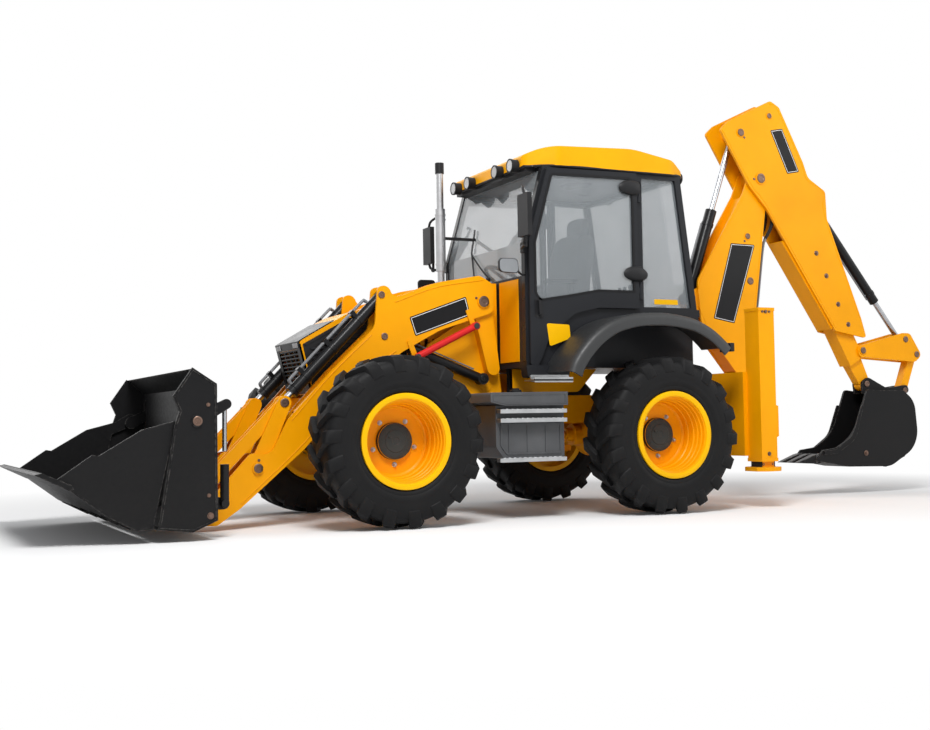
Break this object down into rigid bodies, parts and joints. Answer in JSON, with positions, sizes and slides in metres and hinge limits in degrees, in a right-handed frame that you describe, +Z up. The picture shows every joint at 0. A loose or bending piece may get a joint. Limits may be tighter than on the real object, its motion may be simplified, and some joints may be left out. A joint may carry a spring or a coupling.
{
  "type": "backhoe loader",
  "caption": "Backhoe loader with four equal steered wheels, a clam shovel on lift arms in front, and a slewing boom with an extending dipper and digging bucket behind.",
  "frame": {"origin": "on the ground under the middle of the machine's bounding box", "axes": "+X is forwards to the shovel, +Y is the driver's left, +Z is up"},
  "size_m": [8.527, 2.418, 3.7074],
  "materials": {
    "body_yellow": "gloss orange-yellow paint",
    "rim_yellow": "gloss yellow paint",
    "tyre_rubber": "matt black rubber",
    "cast_grey": "dark grey casting",
    "cab_grey": "satin charcoal paint",
    "tank_grey": "dark grey moulding",
    "roof_yellow": "gloss yellow moulding",
    "dark_plastic": "matt black moulding",
    "seat_fabric": "grey woven cloth",
    "clear_glass": "clear, faintly grey",
    "lamp_lens": "black housing with a clear front",
    "exhaust_steel": "brushed steel",
    "strut_red": "gloss red paint",
    "bucket_charcoal": "satin charcoal paint, worn at the edges",
    "cylinder_black": "satin black paint",
    "rod_chrome": "hard chrome"
  },
  "bodies": {
    "chassis": {"chassis_frame": "body_yellow", "front_axle": "body_yellow", "rear_axle": "body_yellow", "engine_block": "cast_grey", "cab_frame": "cab_grey", "cab_roof": "roof_yellow", "cab_glass": "clear_glass", "seat": "seat_fabric", "controls": "dark_plastic", "rear_fenders": "dark_plastic", "step_tanks": "tank_grey", "exhaust_stack": "exhaust_steel", "work_lamps": "lamp_lens", "mirrors": "dark_plastic"},
    "knuckle_front_left": {"knuckle_front_left": "cast_grey"},
    "wheel_front_left": {"tyre_front_left": "tyre_rubber", "rim_front_left": "rim_yellow"},
    "knuckle_front_right": {"knuckle_front_right": "cast_grey"},
    "wheel_front_right": {"tyre_front_right": "tyre_rubber", "rim_front_right": "rim_yellow"},
    "knuckle_rear_left": {"knuckle_rear_left": "cast_grey"},
    "wheel_rear_left": {"tyre_rear_left": "tyre_rubber", "rim_rear_left": "rim_yellow"},
    "knuckle_rear_right": {"knuckle_rear_right": "cast_grey"},
    "wheel_rear_right": {"tyre_rear_right": "tyre_rubber", "rim_rear_right": "rim_yellow"},
    "loader_arms": {"loader_arms": "body_yellow", "safety_struts": "strut_red"},
    "lift_barrels": {"lift_barrels": "cylinder_black"},
    "lift_rods": {"lift_rods": "rod_chrome"},
    "shovel": {"loader_bucket": "bucket_charcoal"},
    "tilt_levers": {"tilt_levers": "body_yellow"},
    "tilt_links": {"tilt_links": "body_yellow"},
    "tilt_barrels": {"tilt_barrels": "cylinder_black"},
    "tilt_rods": {"tilt_rods": "rod_chrome"},
    "clam": {"bucket_clam": "bucket_charcoal"},
    "clam_barrels": {"clam_barrels": "cylinder_black"},
    "clam_rods": {"clam_rods": "rod_chrome"},
    "bonnet": {"bonnet": "body_yellow"},
    "door_left": {"door_left": "cab_grey", "door_left_glass": "clear_glass"},
    "door_right": {"door_right": "cab_grey", "door_right_glass": "clear_glass"},
    "stabiliser_left": {"stabiliser_left": "body_yellow"},
    "stabiliser_right": {"stabiliser_right": "body_yellow"},
    "carriage": {"carriage": "body_yellow"},
    "kingpost": {"kingpost": "body_yellow"},
    "boom": {"boom": "body_yellow"},
    "boom_barrel": {"boom_barrel": "cylinder_black"},
    "boom_rod": {"boom_rod": "rod_chrome"},
    "dipper": {"dipper": "body_yellow"},
    "dipper_barrel": {"dipper_barrel": "cylinder_black"},
    "dipper_rod": {"dipper_rod": "rod_chrome"},
    "inner_dipper": {"inner_dipper": "body_yellow"},
    "digger": {"backhoe_bucket": "bucket_charcoal"},
    "tip_lever": {"tip_lever": "body_yellow"},
    "tip_link": {"tip_link": "body_yellow"},
    "bucket_barrel": {"bucket_barrel": "cylinder_black"},
    "bucket_rod": {"bucket_rod": "rod_chrome"}
  },
  "joints": [
    {"name": "steer_front_left", "type": "hinge", "parent": "chassis", "child": "knuckle_front_left", "pos_m": [1.75053, 0.74, 0.625], "axis": [0, 0, 1], "range_deg": [-25, 25]},
    {"name": "spin_front_left", "type": "hinge", "parent": "knuckle_front_left", "child": "wheel_front_left", "pos_m": [1.75053, 0.995, 0.625], "axis": [0, 1, 0], "continuous": true},
    {"name": "steer_front_right", "type": "hinge", "parent": "chassis", "child": "knuckle_front_right", "pos_m": [1.75053, -0.74, 0.625], "axis": [0, 0, 1], "range_deg": [-25, 25]},
    {"name": "spin_front_right", "type": "hinge", "parent": "knuckle_front_right", "child": "wheel_front_right", "pos_m": [1.75053, -0.995, 0.625], "axis": [0, 1, 0], "continuous": true},
    {"name": "steer_rear_left", "type": "hinge", "parent": "chassis", "child": "knuckle_rear_left", "pos_m": [-0.53647, 0.74, 0.625], "axis": [0, 0, 1], "range_deg": [-25, 25]},
    {"name": "spin_rear_left", "type": "hinge", "parent": "knuckle_rear_left", "child": "wheel_rear_left", "pos_m": [-0.53647, 0.995, 0.625], "axis": [0, 1, 0], "continuous": true},
    {"name": "steer_rear_right", "type": "hinge", "parent": "chassis", "child": "knuckle_rear_right", "pos_m": [-0.53647, -0.74, 0.625], "axis": [0, 0, 1], "range_deg": [-25, 25]},
    {"name": "spin_rear_right", "type": "hinge", "parent": "knuckle_rear_right", "child": "wheel_rear_right", "pos_m": [-0.53647, -0.995, 0.625], "axis": [0, 1, 0], "continuous": true},
    {"name": "loader_lift", "type": "hinge", "parent": "chassis", "child": "loader_arms", "pos_m": [0.76653, 0, 1.71], "axis": [0, -1, 0], "range_deg": [0, 73]},
    {"name": "lift_barrels_turn", "type": "hinge", "parent": "chassis", "child": "lift_barrels", "pos_m": [0.76353, 0, 1.095], "axis": [0, -1, 0], "range_deg": [-0.05, 48.54]},
    {"name": "lift_rods_slide", "type": "slide", "parent": "lift_barrels", "child": "lift_rods", "axis": [0.9329, 0, 0.3602], "range_m": [-0.0005, 0.5678]},
    {"name": "shovel_tilt", "type": "hinge", "parent": "loader_arms", "child": "shovel", "pos_m": [3.00853, 0, 0.105], "axis": [0, 1, 0], "range_deg": [0, 110]},
    {"name": "tilt_lever_turn", "type": "hinge", "parent": "loader_arms", "child": "tilt_levers", "pos_m": [2.62653, 0, 0.443], "axis": [0, 1, 0], "range_deg": [0, 67.45]},
    {"name": "tilt_link_turn", "type": "hinge", "parent": "tilt_levers", "child": "tilt_links", "pos_m": [2.41153, 0, 0.921], "axis": [0, 1, 0], "range_deg": [-39.79, 0]},
    {"name": "tilt_barrels_turn", "type": "hinge", "parent": "loader_arms", "child": "tilt_barrels", "pos_m": [1.60953, 0, 1.74], "axis": [0, 1, 0], "range_deg": [-15.79, 0.05]},
    {"name": "tilt_rods_slide", "type": "slide", "parent": "tilt_barrels", "child": "tilt_rods", "axis": [0.6997, 0, -0.7145], "range_m": [-0.0005, 0.4651]},
    {"name": "clam_open", "type": "hinge", "parent": "shovel", "child": "clam", "pos_m": [3.24153, 0, 0.792], "axis": [0, -1, 0], "range_deg": [0, 70]},
    {"name": "clam_barrels_turn", "type": "hinge", "parent": "shovel", "child": "clam_barrels", "pos_m": [3.02853, 0, 0.235], "axis": [0, -1, 0], "range_deg": [-1.55, 0.05]},
    {"name": "clam_rods_slide", "type": "slide", "parent": "clam_barrels", "child": "clam_rods", "axis": [-0.0075, 0, 1], "range_m": [-0.2835, 0.0005]},
    {"name": "bonnet_open", "type": "hinge", "parent": "chassis", "child": "bonnet", "pos_m": [0.90153, 0, 1.892], "axis": [0, -1, 0], "range_deg": [0, 48]},
    {"name": "door_left_open", "type": "hinge", "parent": "chassis", "child": "door_left", "pos_m": [-0.52847, 0.768, 2.2], "axis": [0, 0, 1], "range_deg": [0, 90]},
    {"name": "door_right_open", "type": "hinge", "parent": "chassis", "child": "door_right", "pos_m": [-0.52847, -0.768, 2.2], "axis": [0, 0, -1], "range_deg": [0, 90]},
    {"name": "stabiliser_left_down", "type": "slide", "parent": "chassis", "child": "stabiliser_left", "axis": [0, 0, -1], "range_m": [0, 0.5]},
    {"name": "stabiliser_right_down", "type": "slide", "parent": "chassis", "child": "stabiliser_right", "axis": [0, 0, -1], "range_m": [0, 0.5]},
    {"name": "carriage_shift", "type": "slide", "parent": "chassis", "child": "carriage", "axis": [0, 1, 0], "range_m": [-0.5, 0.5]},
    {"name": "slew", "type": "hinge", "parent": "carriage", "child": "kingpost", "pos_m": [-1.93647, 0, 0.78], "axis": [0, 0, 1], "range_deg": [-88, 88]},
    {"name": "boom_lower", "type": "hinge", "parent": "kingpost", "child": "boom", "pos_m": [-2.07147, 0, 0.78], "axis": [0, -1, 0], "range_deg": [0, 95]},
    {"name": "boom_barrel_turn", "type": "hinge", "parent": "kingpost", "child": "boom_barrel", "pos_m": [-2.22647, 0, 0.54], "axis": [0, -1, 0], "range_deg": [-0.05, 88.21]},
    {"name": "boom_rod_slide", "type": "slide", "parent": "boom_barrel", "child": "boom_rod", "axis": [0.0258, 0, 0.9997], "range_m": [-0.3907, 0.0005]},
    {"name": "dipper_out", "type": "hinge", "parent": "boom", "child": "dipper", "pos_m": [-2.30847, 0, 2.97], "axis": [0, 1, 0], "range_deg": [0, 80]},
    {"name": "dipper_barrel_turn", "type": "hinge", "parent": "boom", "child": "dipper_barrel", "pos_m": [-1.53647, 0, 1.84], "axis": [0, 1, 0], "range_deg": [-0.05, 4.44]},
    {"name": "dipper_rod_slide", "type": "slide", "parent": "dipper_barrel", "child": "dipper_rod", "axis": [-0.3379, 0, 0.9412], "range_m": [-0.5903, 0.0005]},
    {"name": "dipper_extend", "type": "slide", "parent": "dipper", "child": "inner_dipper", "axis": [-0.4897, 0, -0.8719], "range_m": [0, 1.15]},
    {"name": "digger_curl", "type": "hinge", "parent": "inner_dipper", "child": "digger", "pos_m": [-3.58247, 0, 1.052], "axis": [0, -1, 0], "range_deg": [-42, 80]},
    {"name": "tip_lever_turn", "type": "hinge", "parent": "inner_dipper", "child": "tip_lever", "pos_m": [-3.51547, 0, 1.376], "axis": [0, -1, 0], "range_deg": [-28.71, 54.64]},
    {"name": "tip_link_turn", "type": "hinge", "parent": "tip_lever", "child": "tip_link", "pos_m": [-4.21547, 0, 1.343], "axis": [0, -1, 0], "range_deg": [-35.5, 18.66]},
    {"name": "bucket_barrel_turn", "type": "hinge", "parent": "inner_dipper", "child": "bucket_barrel", "pos_m": [-2.96247, 0, 2.846], "axis": [0, -1, 0], "range_deg": [-4.89, 9.27]},
    {"name": "bucket_rod_slide", "type": "slide", "parent": "bucket_barrel", "child": "bucket_rod", "axis": [-0.6344, 0, -0.773], "range_m": [-0.2119, 0.4031]}
  ],
  "couplings": [
    {"joint": "steer_front_right", "follows": "steer_front_left", "ratio": 1},
    {"joint": "steer_rear_right", "follows": "steer_rear_left", "ratio": 1},
    {"joint": "lift_barrels_turn", "follows": "loader_lift", "ratio": 0.66421},
    {"joint": "lift_rods_slide", "follows": "loader_lift", "m_per_rad": 0.44524},
    {"joint": "tilt_lever_turn", "follows": "shovel_tilt", "ratio": 0.61269},
    {"joint": "tilt_link_turn", "follows": "shovel_tilt", "ratio": -0.36131},
    {"joint": "tilt_barrels_turn", "follows": "shovel_tilt", "ratio": -0.14305},
    {"joint": "tilt_rods_slide", "follows": "shovel_tilt", "m_per_rad": 0.24202},
    {"joint": "clam_barrels_turn", "follows": "clam_open", "ratio": -0.02142},
    {"joint": "clam_rods_slide", "follows": "clam_open", "m_per_rad": -0.23161},
    {"joint": "boom_barrel_turn", "follows": "boom_lower", "ratio": 0.92796},
    {"joint": "boom_rod_slide", "follows": "boom_lower", "m_per_rad": -0.23533},
    {"joint": "dipper_barrel_turn", "follows": "dipper_out", "ratio": 0.05487},
    {"joint": "dipper_rod_slide", "follows": "dipper_out", "m_per_rad": -0.4224},
    {"joint": "tip_lever_turn", "follows": "digger_curl", "ratio": 0.68235},
    {"joint": "tip_link_turn", "follows": "digger_curl", "ratio": -0.44316},
    {"joint": "bucket_barrel_turn", "follows": "digger_curl", "ratio": 0.11529},
    {"joint": "bucket_rod_slide", "follows": "digger_curl", "m_per_rad": 0.28835}
  ]
}
